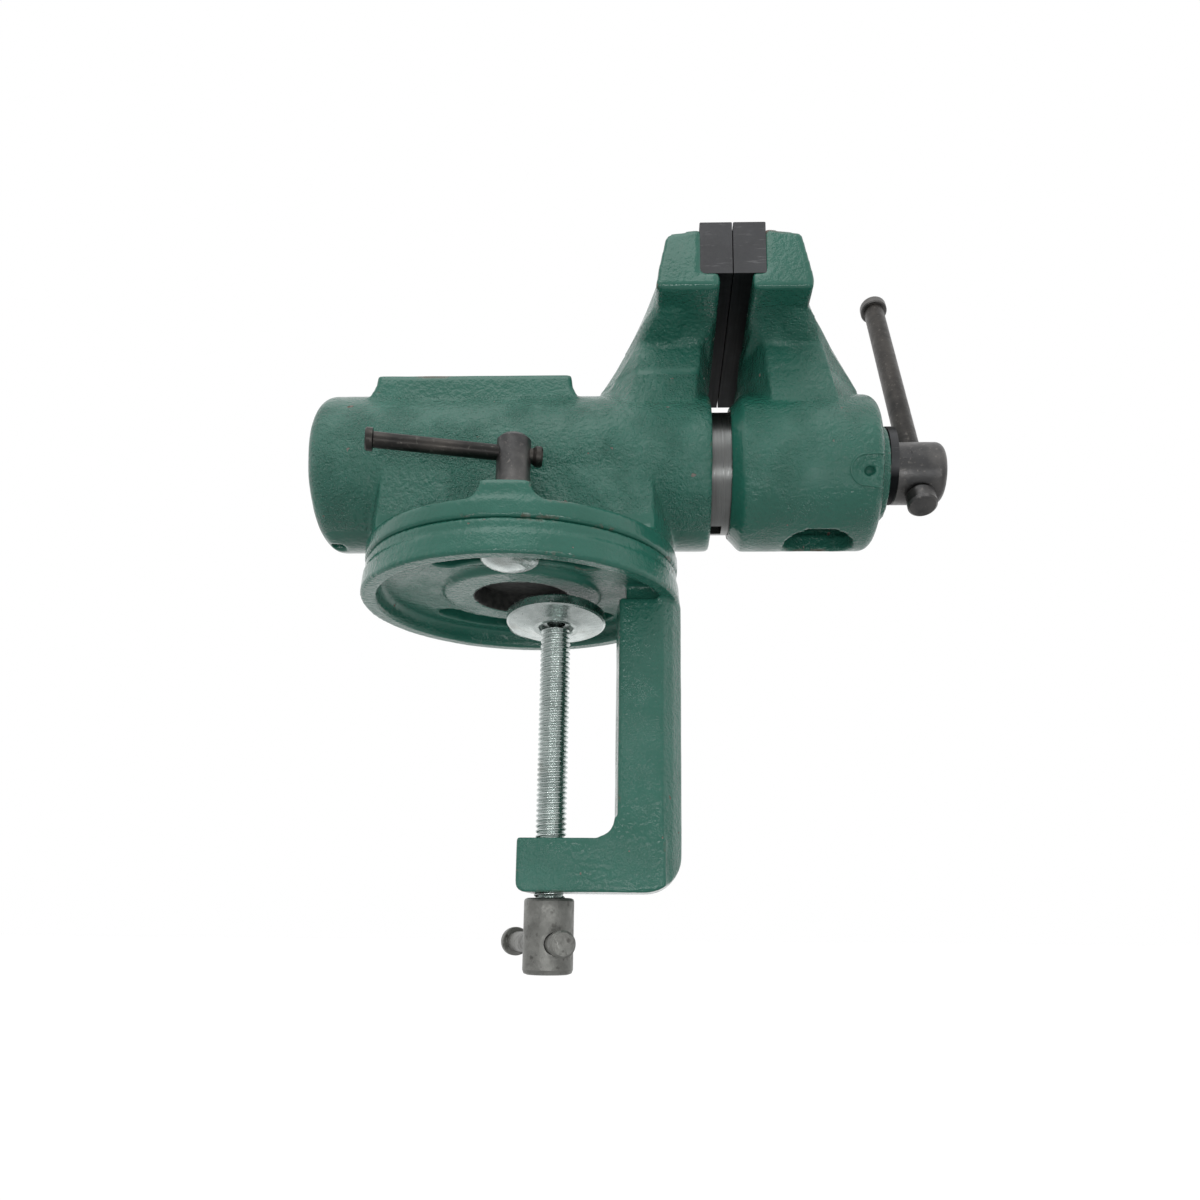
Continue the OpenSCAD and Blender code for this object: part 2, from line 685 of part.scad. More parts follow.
clamp_base();
fixed_body();
moving_jaw();
slide_tube();
guide_key();
fixed_jaw_plate();
moving_jaw_plate();
fixed_plate_screws();
moving_plate_screws();
nut_sleeve();
nut_set_screw();
main_spindle();
spindle_head();
spindle_head_pin();
spindle_washer();
spindle_circlip();
spindle_bar();
spindle_bar_knobs();
front_lock_bolt();
rear_lock_bolt();
front_lock_post();
rear_lock_post();
front_lock_bar();
rear_lock_bar();
clamp_screw();
clamp_screw_head();
clamp_swivel_pin();
clamp_pad();
clamp_bar();
clamp_bar_knob();
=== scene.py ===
"""Looks for a small bench vise: painted castings, zinc-plated clamp, bare and blackened steel.

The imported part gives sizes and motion. The castings are built here again as closed shells with
eased edges and fillets, and every surface has its own procedural finish. Lengths are in metres.
"""

import json
import math

import bpy
import numpy as np
from mathutils import Matrix


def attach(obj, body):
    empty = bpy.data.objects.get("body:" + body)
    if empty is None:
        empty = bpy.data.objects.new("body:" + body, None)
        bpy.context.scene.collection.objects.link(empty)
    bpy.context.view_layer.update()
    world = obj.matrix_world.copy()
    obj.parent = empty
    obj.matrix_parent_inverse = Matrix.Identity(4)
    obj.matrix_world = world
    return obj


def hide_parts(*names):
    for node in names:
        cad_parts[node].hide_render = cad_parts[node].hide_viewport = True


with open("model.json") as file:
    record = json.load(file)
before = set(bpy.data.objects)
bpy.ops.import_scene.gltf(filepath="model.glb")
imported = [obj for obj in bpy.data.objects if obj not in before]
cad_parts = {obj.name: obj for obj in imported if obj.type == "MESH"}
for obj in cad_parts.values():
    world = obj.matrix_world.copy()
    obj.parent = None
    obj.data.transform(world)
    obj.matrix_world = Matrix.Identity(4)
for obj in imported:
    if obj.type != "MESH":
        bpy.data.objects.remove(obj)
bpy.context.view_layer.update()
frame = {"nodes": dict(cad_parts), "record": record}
MM = 0.001

# sizes of the machined faces, in mm
AXIS_Z = 58.5          # height of the spindle above the table
BODY_BORE = 25.12      # radius of the body's bore, in which the tube slides
REAR_BORE = 14.06      # radius of the hole in the body's rear wall, which holds the nut
JAW_BORE = 25.0        # radius of the moving jaw's bore, which holds the tube
SPIGOT = 19.18         # radius of the spigot under the body, which turns in the base
PIVOT_HOLE = 19.25     # radius of the hole in the base
FLANGE_FACE = 13.8     # height of the body's swivel face
BASE_FACE = 13.6       # height of the base's swivel face
BLOCK_END = 49.5       # beyond this distance from the middle a jaw block's end is smooth
NECK_FOOT = 94         # above this height the necks and blocks get back what easing took

# the cast skin
EASE, GIVE_BACK = 0.62, 0.34     # share of the way that a point goes towards its neighbours, and back
SWELL, RIPPLE = 9.0, 3.2         # lattice sizes of the two layers of unevenness, mm
SPREAD = 3                       # rounds that spread the edge value


# ---------------------------------------------------------------- surfaces

def skin(rows):
    """A closed shell through a stack of loops: rows[i, j] is point j of loop i, neighbouring loops are
    joined by quads, and each end is closed by a fan to the loop's mean point. Turned outwards by the
    sign of its volume, which is a sixth of the sum of a . (b x c) over its triangles."""
    rows = np.asarray(rows, float)
    n, m, _ = rows.shape
    i, j = np.meshgrid(np.arange(n - 1), np.arange(m), indexing="ij")
    k = (j + 1) % m
    quads = np.stack([i * m + j, i * m + k, (i + 1) * m + k, (i + 1) * m + j], -1).reshape(-1, 4)
    verts = np.concatenate([rows.reshape(-1, 3), rows[:1].mean(1), rows[-1:].mean(1)])
    a = np.arange(m)
    b = (a + 1) % m
    first = np.stack([b, a, np.full(m, n * m)], -1)
    last = np.stack([(n - 1) * m + a, (n - 1) * m + b, np.full(m, n * m + 1)], -1)
    tris = np.concatenate([quads[:, [0, 1, 2]], quads[:, [0, 2, 3]], first, last])
    p = verts[tris]
    if np.einsum("ij,ij->", p[:, 0], np.cross(p[:, 1], p[:, 2])) < 0:
        tris = tris[:, ::-1]
    return verts, tris


def corners_cut(loops, cut=0.22, times=2):
    """Each corner of a loop is replaced by two points at `cut` of its edges, `times` times over."""
    for _ in range(times):
        nxt = np.roll(loops, -1, axis=1)
        loops = np.stack([loops * (1 - cut) + nxt * cut, loops * cut + nxt * (1 - cut)], 2)
        loops = loops.reshape(loops.shape[0], -1, loops.shape[-1])
    return loops


def neck(z, front0, front1, mid0, mid1, half, ridge):
    """A six-sided casting neck: at each height the loop runs through the front and back faces at
    Y = -half and +half, from front0 to front1, and through ridges at mid0 and mid1 that are
    2 * ridge wide. Corners are cut round."""
    z, f0, f1, m0, m1, h, r = np.broadcast_arrays(*[np.asarray(v, float) for v in
                                                    (z, front0, front1, mid0, mid1, half, ridge)])
    x = np.stack([f0, f1, m1, m1, f1, f0, m0, m0], -1)
    y = np.stack([-h, -h, -r, r, h, h, r, -r], -1)
    flat = corners_cut(np.stack([x, y], -1))
    return skin(np.concatenate([flat, np.repeat(z[:, None, None], flat.shape[1], 1)], -1))


def follow(z, pairs):
    """A height-to-value curve through (height, value) pairs, straight between them."""
    h, v = np.array(pairs, float).T
    return np.interp(z, h, v)


def joined(shells):
    """Several closed shells as one list of points and triangles."""
    verts, tris, at = [], [], 0
    for v, f in shells:
        verts.append(v)
        tris.append(f + at)
        at += len(v)
    return np.concatenate(verts), np.concatenate(tris)


def put(name, verts, faces, smooth=True):
    """A mesh object at the origin from points in mm."""
    mesh = bpy.data.meshes.new(name)
    mesh.from_pydata(np.asarray(verts) * MM, [], np.asarray(faces).tolist())
    mesh.validate()
    mesh.shade_smooth() if smooth else mesh.shade_flat()
    obj = bpy.data.objects.new(name, mesh)
    bpy.context.scene.collection.objects.link(obj)
    return obj


def cad_shell(node):
    """The points, in mm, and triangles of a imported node, with its doubled points merged."""
    mesh = frame["nodes"][node].data
    mesh.calc_loop_triangles()
    v = np.empty(len(mesh.vertices) * 3)
    mesh.vertices.foreach_get("co", v)
    t = np.empty(len(mesh.loop_triangles) * 3, int)
    mesh.loop_triangles.foreach_get("vertices", t)
    v = np.round(v.reshape(-1, 3) / MM, 4)
    u, back = np.unique(v, axis=0, return_inverse=True)
    t = back.reshape(-1)[t].reshape(-1, 3)
    t = t[(t[:, 0] != t[:, 1]) & (t[:, 1] != t[:, 2]) & (t[:, 0] != t[:, 2])]
    return u, t


def noise(points, size, seed):
    """Smooth value noise from -1 to 1: random numbers on a cubic lattice of that size in mm, blended
    between the eight corners with 3t^2 - 2t^3 weights."""
    rng = np.random.default_rng(seed)
    grid = rng.uniform(-1, 1, (32, 32, 32))
    q = points / size + 100.0
    base = np.floor(q).astype(int)
    f = q - base
    f = f * f * (3 - 2 * f)
    total = 0.0
    for dx in (0, 1):
        for dy in (0, 1):
            for dz in (0, 1):
                w = (f[:, 0] if dx else 1 - f[:, 0]) * (f[:, 1] if dy else 1 - f[:, 1]) \
                    * (f[:, 2] if dz else 1 - f[:, 2])
                total = total + w * grid[(base[:, 0] + dx) % 32, (base[:, 1] + dy) % 32,
                                         (base[:, 2] + dz) % 32]
    return total


def casting(name, shells, voxel, rounds, wave=0.12, rough=None, seed=3, trim=None, grow=None):
    """Closed shells fused into one skin on a grid of `voxel` mm and eased by `rounds` of moving each
    point towards the mean of its neighbours and part of the way back, so edges and inner corners get
    the small radii of a sand casting. Points then move along their normals: by `grow`, which gives back
    what easing took, and by two sizes of noise. Two numbers are kept on each point: edge, how strongly
    the skin turns outwards there, and grain, how coarse the cast surface is. At the end `trim` puts the
    points of machined faces back in place."""
    v, f = joined(shells)
    raw = put(name + "_raw", v, f)
    mod = raw.modifiers.new("fuse", "REMESH")
    mod.mode, mod.voxel_size = "VOXEL", voxel * MM
    mesh = bpy.data.meshes.new_from_object(raw.evaluated_get(bpy.context.evaluated_depsgraph_get()))
    bpy.data.objects.remove(raw)
    mesh.name = name
    n = len(mesh.vertices)
    p = np.empty(n * 3)
    mesh.vertices.foreach_get("co", p)
    p = p.reshape(-1, 3) / MM
    e = np.empty(len(mesh.edges) * 2, int)
    mesh.edges.foreach_get("vertices", e)
    e = e.reshape(-1, 2)
    ends = np.concatenate([e[:, 0], e[:, 1]])
    other = np.concatenate([e[:, 1], e[:, 0]])
    degree = np.maximum(np.bincount(ends, minlength=n), 1)

    def near(a):
        return np.stack([np.bincount(ends, a[other, c], minlength=n) for c in range(a.shape[1])],
                        -1) / degree[:, None]

    for _ in range(rounds):
        p = p + EASE * (near(p) - p)
        p = p - GIVE_BACK * (near(p) - p)
    mesh.vertices.foreach_set("co", (p * MM).ravel())
    mesh.update()
    nor = np.empty(n * 3)
    mesh.vertices.foreach_get("normal", nor)
    nor = nor.reshape(-1, 3)
    edge = np.einsum("ij,ij->i", p - near(p), nor)[:, None]
    for _ in range(SPREAD):
        edge = 0.5 * edge + 0.5 * near(edge)
    edge = edge[:, 0] / voxel
    grain = np.ones(n) if rough is None else rough(p)
    swell = 0.0 if grow is None else grow(p)
    p = p + nor * (swell + wave * noise(p, SWELL, seed)
                   + 0.35 * wave * grain * noise(p, RIPPLE, seed + 1))[:, None]
    if trim:
        p = trim(p)
    mesh.vertices.foreach_set("co", (p * MM).ravel())
    for label, values in (("edge", edge), ("grain", grain)):
        layer = mesh.attributes.new(label, "FLOAT", "POINT")
        layer.data.foreach_set("value", values.astype(np.float32))
    mesh.shade_smooth()
    obj = bpy.data.objects.new(name, mesh)
    bpy.context.scene.collection.objects.link(obj)
    return obj


# ---------------------------------------------------------------- castings

# (height, half width) of the fillet under a jaw block: it flares in a quarter round up to the block
SKIRT_HALF = [(98, 21.8), (102, 22.6), (105, 24), (107.4, 26.2), (109.2, 29), (110.6, 33), (111.6, 40)]


def round_to(p, where, radius, reach):
    """Points chosen by `where` that lie within `reach` of a bore along the spindle are moved onto its
    radius."""
    y, z = p[:, 1], p[:, 2] - AXIS_Z
    r = np.hypot(y, z)
    hit = where & (np.abs(r - radius) < reach)
    k = np.where(hit, radius / np.maximum(r, 1e-6), 1.0)
    return np.stack([p[:, 0], y * k, z * k + AXIS_Z], -1)


def fixed_casting():
    """The body with its bores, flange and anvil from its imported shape, and a swept neck, a fillet under
    the block and a rib behind it."""
    z = np.linspace(70, 113, 20)
    sweep = neck(z, follow(z, [(70, 41), (76, 43.6), (90, 46.2), (105, 49.7), (113, 51.6)]),
                 follow(z, [(70, 69.4), (82, 69), (98, 70.8), (113, 73)]),
                 follow(z, [(70, 24), (90, 27.4), (96, 31.9), (104, 36.6), (113, 41.4)]),
                 follow(z, [(70, 75.6), (96, 75.6), (109, 77.2), (113, 77.5)]),
                 follow(z, [(70, 26), (80, 24), (95, 22.3), (113, 22)]), 4)
    z = np.linspace(98, 111.6, 14)
    skirt = neck(z, follow(z, [(98, 48.4), (107, 50.6), (111.6, 54.2)]),
                 follow(z, [(98, 71), (107, 73), (110, 75), (111.6, 77.6)]),
                 follow(z, [(98, 44), (111.6, 45.4)]), follow(z, [(98, 71.4), (111.6, 77.6)]),
                 follow(z, SKIRT_HALF), 12)
    z = np.linspace(104, 133.4, 14)
    rib = neck(z, follow(z, [(104, 49.5), (111.4, 54.2), (119, 55.4), (133.4, 58.4)]), 66,
               follow(z, [(104, 36.6), (107.3, 38.6), (115.9, 43.3), (124.1, 47.1), (130.5, 49.8),
                          (133.4, 51)]), 68, follow(z, [(104, 22), (111.4, 40), (133.4, 36)]), 3)

    def grain(p):
        flat = (np.abs(p[:, 1]) > BLOCK_END) | (p[:, 2] < 28.8) | (np.abs(p[:, 2] - 92.3) < 1.2)
        side = (np.abs(np.abs(p[:, 1]) - 23) < 1.6) & (p[:, 2] > 83) & (p[:, 0] < 24)
        return np.where(flat | side, 0.18, 1.0)

    def trim(p):
        p = round_to(p, (p[:, 0] > -57.5) & (p[:, 0] < 75.4), BODY_BORE, 1.2)
        p = round_to(p, p[:, 0] < -58.5, REAR_BORE, 1.0)
        rim = np.hypot(p[:, 0], p[:, 1])
        face = (p[:, 2] < FLANGE_FACE + 1.4) & (rim > SPIGOT + 1.02)
        p[face, 2] = np.maximum(p[face, 2], FLANGE_FACE)
        spigot = (p[:, 2] < FLANGE_FACE - 0.1) & (rim > SPIGOT - 1.18)
        p[:, :2] *= np.where(spigot, np.minimum(1, SPIGOT / np.maximum(rim, 1)), 1)[:, None]
        return p

    def swell(p):
        return np.where(p[:, 2] > 112, 0.6, np.where(p[:, 2] > NECK_FOOT, 0.3, 0.05))

    return casting("fixed_casting", [cad_shell("fixed_body"), sweep, skirt, rib], 1.1, 2, 0.10,
                   grain, 5, trim, swell)


def moving_casting():
    """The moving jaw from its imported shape, with a swept neck, a fillet under the block and a rib."""
    z = np.linspace(76, 113, 18)
    sweep = neck(z, follow(z, [(76, 101), (80, 101.8), (91, 100.1), (105, 98), (113, 97)]),
                 follow(z, [(76, 126.6), (87, 124), (102, 120.5), (113, 118)]),
                 follow(z, [(76, 88.6), (100, 88.9), (113, 90.2)]),
                 follow(z, [(76, 141), (87, 138.8), (93, 134.8), (96, 133.0), (98, 131.8), (104, 128.8),
                            (113, 125.6)]),
                 follow(z, [(76, 25), (84, 23.6), (97, 22.3), (113, 22)]), 4)
    z = np.linspace(98, 111.6, 14)
    skirt = neck(z, follow(z, [(98, 99.6), (107, 97.4), (111.6, 92.6)]),
                 follow(z, [(98, 121), (107, 119), (111.6, 115)]),
                 follow(z, [(98, 99), (111.6, 92.4)]), follow(z, [(98, 124), (111.6, 122.6)]),
                 follow(z, SKIRT_HALF), 12)
    z = np.linspace(104, 132.6, 14)
    rib = neck(z, 104, follow(z, [(104, 119), (111.4, 114.8), (118, 113.6), (132.6, 110.2)]), 102,
               follow(z, [(104, 128.8), (111, 126.2), (118, 123.4), (125, 121), (132.6, 118.8)]),
               follow(z, [(104, 22), (111.4, 38), (132.6, 34)]), 3)

    def grain(p):
        flat = (np.abs(p[:, 1]) > BLOCK_END) | (p[:, 0] < 89)
        return np.where(flat, 0.2, 0.8)

    def trim(p):
        p = round_to(p, (p[:, 0] > 84.6) & (p[:, 0] < 136), JAW_BORE, 1.1)
        p[:, 0] = np.where((p[:, 0] < 84.4) & (p[:, 2] < 92), np.maximum(p[:, 0], 83.8), p[:, 0])
        return p

    def swell(p):
        return np.where(p[:, 2] > NECK_FOOT, 0.28, 0.03)

    return casting("moving_casting", [cad_shell("moving_jaw"), sweep, skirt, rib], 0.9, 2, 0.08,
                   grain, 11, trim, swell)


def base_casting():
    """The swivel base with its clamp frame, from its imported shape, with eased edges."""
    def grain(p):
        return np.where(p[:, 2] < -2, 0.45, 0.3)

    def trim(p):
        p[:, 2] = np.minimum(p[:, 2], BASE_FACE)
        rim = np.hypot(p[:, 0], p[:, 1])
        hole = (p[:, 2] > 3.9) & (np.abs(rim - PIVOT_HOLE) < 1.0)
        wall = PIVOT_HOLE + 0.02        # a hair wide, clear of the spigot
        p[:, :2] *= np.where(hole, wall / np.maximum(rim, 1), 1)[:, None]
        return p

    return casting("base_casting", [cad_shell("clamp_base")], 0.85, 2, 0.07, grain, 17, trim)


def recess_lip():
    """A fine raised bead round the recess at the moving jaw's end. Its path is an open U laid on the
    round body, given as distance along X and distance round the body from the recess's middle; each
    ring of the bead is a circle."""
    body, bead, middle = 31.8, 0.45, -22.0   # radii of body and bead, mm, and the middle's angle
    turn = np.radians(np.linspace(90, 270, 16))
    x = np.concatenate([[142.2, 139.5], 135.4 + 6.0 * np.cos(turn), [139.5, 142.2]])
    w = np.concatenate([[6.2, 6.1], 6.0 * np.sin(turn), [-6.6, -7.2]])
    a = np.radians(middle) + w / body
    r = body - 0.02 - 2.2 * np.clip((x - 138.6) / 4.6, 0, 1) ** 3
    path = np.stack([x, -r * np.cos(a), AXIS_Z + r * np.sin(a)], -1)
    out = np.stack([0 * a, -np.cos(a), np.sin(a)], -1)
    along = np.gradient(path, axis=0)
    along /= np.linalg.norm(along, axis=1)[:, None]
    side = np.cross(along, out)
    t = np.linspace(0, 2 * np.pi, 12, endpoint=False)
    ring = np.cos(t)[None, :, None] * out[:, None] + np.sin(t)[None, :, None] * side[:, None]
    return put("recess_lip", *skin(path[:, None] + bead * ring))


def threaded_rod():
    """The clamp screw: radius = crest less depth * triangle wave of (z / pitch - turn), so the ridge
    climbs one pitch each turn; the wave fades out at the chamfered end."""
    pitch, depth, crest, core = 2.0, 1.0, 6.0, 3.4
    axis_x, low, high, tip = 14.0, -123.1, -8.4, -7.4
    chamfer, count = 1.3, 40
    z = np.arange(low, high, 0.2)
    t = np.linspace(0, 1, count, endpoint=False)
    phase = (z[:, None] / pitch - t[None, :]) % 1.0
    wave = np.clip(np.abs(phase - 0.5) * 2.6 - 0.3, 0, 1)
    r = crest - 0.05 - depth * wave
    end = np.clip((high - z) / chamfer, 0, 1)[:, None]
    r = np.minimum(r, core + (crest - core) * end)
    a = 2 * np.pi * t[None, :]
    rows = np.stack([axis_x + r * np.cos(a), r * np.sin(a), np.repeat(z[:, None], count, 1)], -1)
    rows = np.concatenate([rows, rows[-1:]])
    rows[-1, :, 2] = tip
    rows[-1, :, :2] = (rows[-1, :, :2] - (axis_x, 0)) * 0.94 + (axis_x, 0)
    return put("threaded_rod", *skin(rows))


# ---------------------------------------------------------------- finishes

class Finish:
    """A small helper that lays out shader nodes."""

    def __init__(self, name):
        self.mat = bpy.data.materials.new(name)
        self.mat.use_nodes = True
        self.tree = self.mat.node_tree
        self.shader = self.tree.nodes["Principled BSDF"]
        self.place = self.tree.nodes.new("ShaderNodeTexCoord").outputs["Object"]

    def set(self, **values):
        for key, value in values.items():
            self.shader.inputs[key.replace("_", " ")].default_value = value

    def node(self, kind, inputs=(), **props):
        n = self.tree.nodes.new("ShaderNode" + kind)
        for k, v in props.items():
            setattr(n, k, v)
        for k, v in dict(inputs).items():
            if hasattr(v, "links"):
                self.tree.links.new(v, n.inputs[k])
            else:
                n.inputs[k].default_value = v
        return n

    def noise(self, scale, detail=3.0, rough=0.5, stretch=None):
        at = self.place
        if stretch:
            at = self.node("Mapping", {"Vector": at, "Scale": stretch}).outputs[0]
        return self.node("TexNoise", {"Vector": at, "Scale": scale, "Detail": detail,
                                      "Roughness": rough}).outputs["Fac"]

    def ramp(self, value, low, high, a=0.0, b=1.0):
        return self.node("MapRange", {"Value": value, "From Min": low, "From Max": high,
                                      "To Min": a, "To Max": b}).outputs[0]

    def math(self, op, a, b=0.0):
        n = self.node("Math", operation=op)
        for i, v in enumerate((a, b)):
            if hasattr(v, "links"):
                self.tree.links.new(v, n.inputs[i])
            else:
                n.inputs[i].default_value = v
        return n.outputs[0]

    def mix(self, fac, a, b):
        n = self.node("Mix", data_type="RGBA")
        for socket, v in ((n.inputs[0], fac), (n.inputs[6], a), (n.inputs[7], b)):
            if hasattr(v, "links"):
                self.tree.links.new(v, socket)
            else:
                socket.default_value = v if isinstance(v, float) else (*v, 1.0)
        return n.outputs[2]

    def attribute(self, name):
        return self.node("Attribute", attribute_name=name).outputs["Fac"]

    def bump(self, height, strength, distance, under=None):
        n = self.node("Bump", {"Height": height, "Distance": distance})
        if hasattr(strength, "links"):
            self.tree.links.new(strength, n.inputs["Strength"])
        else:
            n.inputs["Strength"].default_value = strength
        if under:
            self.tree.links.new(under, n.inputs["Normal"])
        return n.outputs[0]

    def out(self, **links):
        for key, socket in links.items():
            self.tree.links.new(socket, self.shader.inputs[key.replace("_", " ")])
        return self.mat


def green_paint():
    """Glossy green paint over sand-cast iron: pebbled where the casting is coarse, chipped to rust and
    dark iron along some edges. The pivot's faces in the middle of the base are bare dark iron."""
    f = Finish("green_paint")
    f.set(IOR=1.5)
    grain = f.attribute("grain")
    edge = f.attribute("edge")
    tone = f.noise(55, 4)
    green = f.mix(f.ramp(tone, 0.35, 0.7), (0.0180, 0.112, 0.080), (0.0225, 0.129, 0.094))
    dust = f.ramp(f.noise(210, 5, 0.65), 0.60, 0.78, 0.0, 0.22)
    green = f.mix(dust, green, (0.11, 0.16, 0.135))
    patch = f.noise(42, 5, 0.62)
    fine = f.noise(330, 4, 0.6)
    torn = f.math("ADD", f.math("MULTIPLY", patch, 0.75), f.math("MULTIPLY", fine, 0.25))
    chip = f.math("MULTIPLY", f.ramp(edge, 0.055, 0.13), f.ramp(torn, 0.565, 0.59))
    spot = f.math("MULTIPLY", f.ramp(f.noise(230, 2, 0.5), 0.735, 0.75), f.ramp(grain, 0.1, 0.3))
    chip = f.math("MAXIMUM", chip, spot)
    rust = f.mix(f.ramp(f.noise(600, 3), 0.4, 0.62), (0.10, 0.052, 0.034), (0.17, 0.155, 0.14))
    colour = f.mix(chip, green, rust)
    axes = f.node("SeparateXYZ", {0: f.place})
    pivot_r, pivot_z, pivot_half = 0.0198, 0.009, 0.005
    near = f.math("ADD", f.math("POWER", axes.outputs[0], 2.0), f.math("POWER", axes.outputs[1], 2.0))
    level = f.math("ABSOLUTE", f.math("SUBTRACT", axes.outputs[2], pivot_z))
    bare = f.math("MULTIPLY", f.math("LESS_THAN", near, pivot_r ** 2),
                  f.math("LESS_THAN", level, pivot_half))
    iron = f.mix(f.ramp(f.noise(500, 4), 0.35, 0.7), (0.012, 0.014, 0.013), (0.045, 0.045, 0.042))
    colour = f.mix(bare, colour, iron)
    gloss = f.ramp(f.noise(120, 3), 0.3, 0.75, 0.09, 0.20)
    gloss = f.math("MAXIMUM", gloss, f.math("MULTIPLY", f.math("MAXIMUM", chip, bare), 0.62))
    pebble = f.noise(520, 2.5, 0.45)
    grit = f.noise(1250, 2.5, 0.55)
    zone = f.ramp(f.noise(60, 2), 0.40, 0.62, 0.35, 1.0)
    surface = f.bump(pebble, f.ramp(grain, 0.0, 1.0, 0.06, 0.60), 0.0013)
    surface = f.bump(grit, f.math("MULTIPLY", zone, f.ramp(grain, 0.1, 1.0, 0.06, 1.0)), 0.0013,
                     surface)
    surface = f.bump(f.math("SUBTRACT", 1.0, chip), 0.5, 0.00025, surface)
    return f.out(Base_Color=colour, Roughness=gloss, Normal=surface)


def zinc_plate():
    """Dull zinc with a faint green-grey cast: small cloudy spangles, pits and stains."""
    f = Finish("zinc_plate")
    f.set(Metallic=1.0)
    cloud = f.noise(160, 5, 0.6)
    colour = f.mix(f.ramp(cloud, 0.35, 0.68), (0.48, 0.535, 0.52), (0.64, 0.70, 0.68))
    stain = f.ramp(f.noise(70, 4), 0.56, 0.70)
    colour = f.mix(f.math("MULTIPLY", stain, 0.45), colour, (0.24, 0.25, 0.22))
    pit = f.ramp(f.noise(900, 3, 0.6), 0.64, 0.74)
    colour = f.mix(f.math("MULTIPLY", pit, 0.5), colour, (0.12, 0.125, 0.115))
    rough = f.ramp(f.noise(420, 4), 0.3, 0.7, 0.17, 0.32)
    return f.out(Base_Color=colour, Roughness=rough, Normal=f.bump(f.noise(700, 4), 0.22, 0.0003))


def dark_steel():
    """Jaw steel left black from its heat treatment, with the two ends ground grey. Off the ends the black
    is partly the steel's oxide and partly painted shade, kept near-black for the dim undersides.
    """
    f = Finish("dark_steel")
    face = f.node("SeparateXYZ", {0: f.node("TexCoord").outputs["Normal"]}).outputs[1]
    end = f.ramp(f.math("ABSOLUTE", face), 0.75, 0.9)
    lines = f.noise(900, 4, 0.6, (1, 0.03, 1))
    cloud = f.noise(60, 4)
    grey = f.mix(f.ramp(cloud, 0.35, 0.7), (0.024, 0.025, 0.028), (0.036, 0.038, 0.042))
    scratch = f.ramp(f.noise(420, 4, 0.6, (0.35, 1, 2.2)), 0.60, 0.72, 0.0, 0.5)
    grey = f.mix(scratch, grey, (0.13, 0.13, 0.135))
    # near-black on every face but the ends: partly black oxide, partly painted shade under and between
    # the jaws
    oxide_black_and_shade = f.mix(f.ramp(f.noise(140, 5), 0.45, 0.7), (0.0015, 0.0022, 0.0028),
                  (0.005, 0.0065, 0.0075))
    colour = f.mix(end, oxide_black_and_shade, grey)
    rough = f.math("ADD", f.ramp(lines, 0.3, 0.7, 0.40, 0.55), f.ramp(end, 0.0, 1.0, 0.1, 0.0))
    return f.out(Base_Color=colour, Roughness=rough, Normal=f.bump(lines, 0.12, 0.0002),
                 Specular_IOR_Level=f.ramp(end, 0.0, 1.0, 0.10, 0.45))


def bare_steel():
    """Turned bare steel under an oil film: fine rings round the X axis, darker smears."""
    f = Finish("bare_steel")
    f.set(Metallic=1.0)
    rings = f.noise(1400, 3, 0.6, (1, 0.02, 0.02))
    smear = f.noise(38, 5, 0.6, (1, 0.6, 0.6))
    colour = f.mix(f.ramp(smear, 0.38, 0.66), (0.125, 0.13, 0.128), (0.205, 0.21, 0.207))
    colour = f.mix(f.ramp(rings, 0.45, 0.75, 0.0, 0.4), colour, (0.09, 0.085, 0.08))
    rough = f.ramp(rings, 0.3, 0.7, 0.24, 0.4)
    return f.out(Base_Color=colour, Roughness=rough, Normal=f.bump(rings, 0.2, 0.0002))


def blackened(name, low, high, speck_colour):
    """Blackened bar steel, rubbed brown and bright in places."""
    f = Finish(name)
    f.set(Metallic=0.85)
    rub = f.noise(48, 5, 0.62)
    colour = f.mix(f.ramp(rub, 0.40, 0.66), low, high)
    speck = f.ramp(f.noise(650, 4), 0.60, 0.70, 0.0, 0.5)
    colour = f.mix(speck, colour, speck_colour)
    rough = f.ramp(f.noise(300, 4), 0.3, 0.7, 0.30, 0.46)
    return f.out(Base_Color=colour, Roughness=rough, Normal=f.bump(f.noise(520, 4), 0.25, 0.0003))


def grey_cast():
    """Satin grey rough-cast metal with pits."""
    f = Finish("grey_cast")
    f.set(Metallic=0.7)
    cloud = f.noise(110, 5, 0.6)
    colour = f.mix(f.ramp(cloud, 0.35, 0.66), (0.145, 0.147, 0.137), (0.235, 0.237, 0.222))
    pit = f.ramp(f.noise(420, 3), 0.60, 0.70)
    colour = f.mix(f.math("MULTIPLY", pit, 0.6), colour, (0.05, 0.048, 0.043))
    rough = f.ramp(f.noise(300, 4), 0.3, 0.7, 0.34, 0.52)
    surface = f.bump(f.noise(230, 4), 0.6, 0.0010)
    surface = f.bump(f.noise(800, 3), 0.3, 0.0003, surface)
    return f.out(Base_Color=colour, Roughness=rough, Normal=surface)


def floor_painted_shade_glow():
    """Matt pale floor, greyer in front of and under the vise as painted shade, and white behind it with a
    faint painted glow.
    """
    f = Finish("floor_painted_shade_glow")
    f.set(Roughness=0.9)
    # the near floor's grey is painted shade; the far floor's faint emission is a painted glow
    far = f.ramp(f.node("SeparateXYZ", {0: f.place}).outputs[1], 0.5, 1.5)
    f.set(Emission_Color=(1, 1, 1, 1))
    return f.out(Base_Color=f.mix(far, (0.48, 0.48, 0.48), (0.94, 0.94, 0.94)),
                 Emission_Strength=f.ramp(far, 0.0, 1.0, 0.0, 0.14))


# ---------------------------------------------------------------- putting it together

